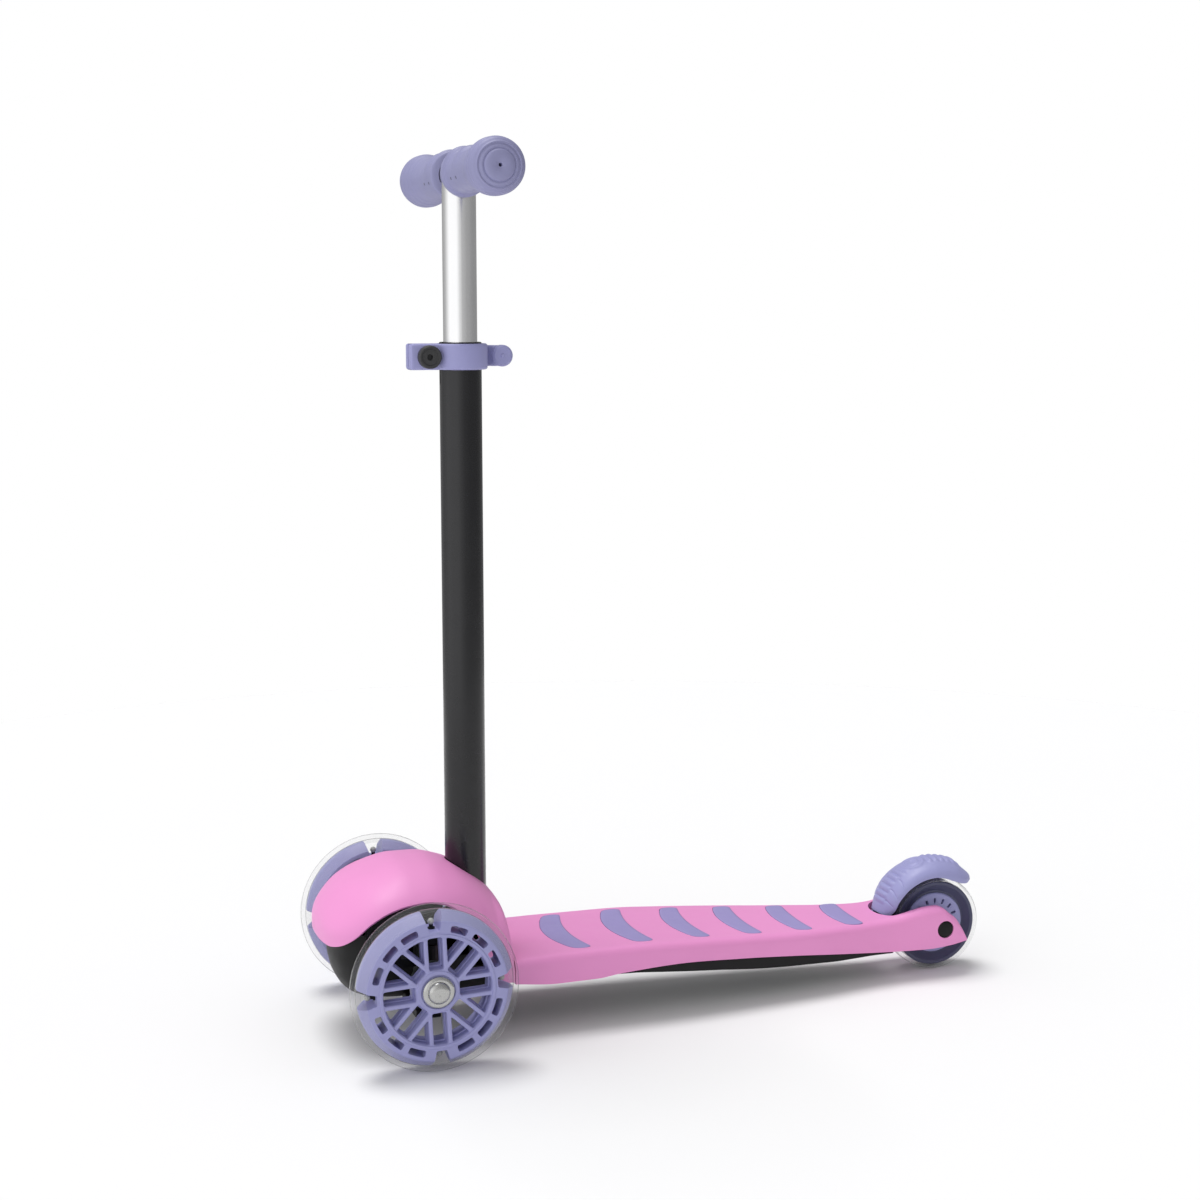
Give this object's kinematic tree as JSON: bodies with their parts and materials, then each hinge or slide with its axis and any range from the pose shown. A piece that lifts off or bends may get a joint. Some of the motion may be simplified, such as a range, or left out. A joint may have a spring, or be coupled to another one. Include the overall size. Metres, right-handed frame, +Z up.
{
  "type": "kick scooter",
  "caption": "Child's kick scooter with two steered front wheels and one rear wheel, steered by leaning its telescoping handlebar column, with a foot brake over the rear wheel.",
  "frame": {"origin": "on the ground, under the middle of the scooter's box", "axes": "+Z up, the rider faces -Y, the rider's left is +X"},
  "size_m": [0.227, 0.5367, 0.6416],
  "materials": {
    "pink_plastic": "satin moulded plastic",
    "lilac_plastic": "satin moulded plastic",
    "black_plastic": "fine-grained moulded nylon",
    "black_paint": "gloss powder coat",
    "polished_tube": "polished",
    "fastener_steel": "zinc plated",
    "grip_rubber": "soft matt with small raised dots",
    "pad_rubber": "matt with raised ribs",
    "clear_tyre": "clear glossy polyurethane",
    "light_board": "bare circuit board"
  },
  "bodies": {
    "frame": {"front_chassis": "black_plastic", "deck": "pink_plastic", "underframe": "black_plastic", "pad_1": "pad_rubber", "pad_2": "pad_rubber", "pad_3": "pad_rubber", "pad_4": "pad_rubber", "pad_5": "pad_rubber", "pad_6": "pad_rubber", "lean_pin": "fastener_steel", "kingpin_left": "fastener_steel", "kingpin_right": "fastener_steel", "centring_spring_left": "fastener_steel", "centring_spring_right": "fastener_steel", "deck_screw_1": "fastener_steel", "deck_screw_2": "fastener_steel", "deck_screw_3": "fastener_steel", "deck_screw_4": "fastener_steel", "rear_axle": "fastener_steel", "rear_spacer_left": "fastener_steel", "rear_spacer_right": "fastener_steel", "rear_cap_left": "black_plastic", "rear_cap_right": "black_plastic", "brake_pin": "fastener_steel", "brake_spring": "fastener_steel"},
    "steering_head": {"steering_head": "black_plastic", "hood": "pink_plastic", "outer_tube": "black_paint", "column_bolt": "fastener_steel", "guide_bush": "black_plastic", "clamp_collar": "lilac_plastic", "clamp_bolt": "fastener_steel", "clamp_nut": "black_plastic", "lever_pin": "fastener_steel"},
    "clamp_lever": {"clamp_lever": "lilac_plastic"},
    "handlebar": {"inner_tube": "polished_tube", "crossbar": "polished_tube", "grip_left": "grip_rubber", "grip_right": "grip_rubber"},
    "knuckle_left": {"knuckle_left": "black_plastic", "front_axle_left": "fastener_steel"},
    "knuckle_right": {"knuckle_right": "black_plastic", "front_axle_right": "fastener_steel"},
    "front_wheel_left": {"front_core_left": "lilac_plastic", "front_tyre_left": "clear_tyre", "front_bearing_outer_left": "fastener_steel", "front_bearing_inner_left": "fastener_steel", "light_ring_left": "light_board"},
    "front_wheel_right": {"front_core_right": "lilac_plastic", "front_tyre_right": "clear_tyre", "front_bearing_outer_right": "fastener_steel", "front_bearing_inner_right": "fastener_steel", "light_ring_right": "light_board"},
    "tie_rod": {"tie_rod": "black_plastic"},
    "rear_wheel": {"rear_core": "lilac_plastic", "rear_tyre": "clear_tyre", "rear_bearing_left": "fastener_steel", "rear_bearing_right": "fastener_steel"},
    "brake": {"brake_fender": "lilac_plastic"}
  },
  "joints": [
    {"name": "lean", "type": "hinge", "parent": "frame", "child": "steering_head", "pos_m": [0, -0.2023, 0.045], "axis": [0, 1, 0], "range_deg": [-8, 8], "stiffness_Nm_per_rad": 25, "deforming": ["centring_spring_left", "centring_spring_right"]},
    {"name": "steer_left", "type": "hinge", "parent": "frame", "child": "knuckle_left", "pos_m": [0.07, -0.2023, 0.045], "axis": [0, 0, 1], "range_deg": [-10.5, 10.5]},
    {"name": "steer_right", "type": "hinge", "parent": "frame", "child": "knuckle_right", "pos_m": [-0.07, -0.2023, 0.045], "axis": [0, 0, 1], "range_deg": [-10.5, 10.5]},
    {"name": "tie_rod_slide", "type": "slide", "parent": "frame", "child": "tie_rod", "axis": [1, 0, 0], "range_m": [-0.005, 0.005]},
    {"name": "front_wheel_left_spin", "type": "hinge", "parent": "knuckle_left", "child": "front_wheel_left", "pos_m": [0.097, -0.2023, 0.06], "axis": [1, 0, 0], "continuous": true},
    {"name": "front_wheel_right_spin", "type": "hinge", "parent": "knuckle_right", "child": "front_wheel_right", "pos_m": [-0.097, -0.2023, 0.06], "axis": [1, 0, 0], "continuous": true},
    {"name": "rear_wheel_spin", "type": "hinge", "parent": "frame", "child": "rear_wheel", "pos_m": [0, 0.2304, 0.038], "axis": [1, 0, 0], "continuous": true},
    {"name": "height", "type": "slide", "parent": "steering_head", "child": "handlebar", "axis": [0, 0, 1], "range_m": [-0.085, 0.16]},
    {"name": "clamp_lever", "type": "hinge", "parent": "steering_head", "child": "clamp_lever", "pos_m": [-0.016, -0.1803, 0.49375], "axis": [0, 0, 1], "range_deg": [0, 150]},
    {"name": "brake", "type": "hinge", "parent": "frame", "child": "brake", "pos_m": [0, 0.1847, 0.045], "axis": [-1, 0, 0], "range_deg": [0, 3], "stiffness_Nm_per_rad": 0.5, "springref_deg": -11.46}
  ],
  "couplings": [
    {"joint": "steer_left", "follows": "lean", "ratio": 1.2692},
    {"joint": "steer_right", "follows": "lean", "ratio": 1.2692},
    {"joint": "tie_rod_slide", "follows": "lean", "m_per_rad": 0.033}
  ]
}
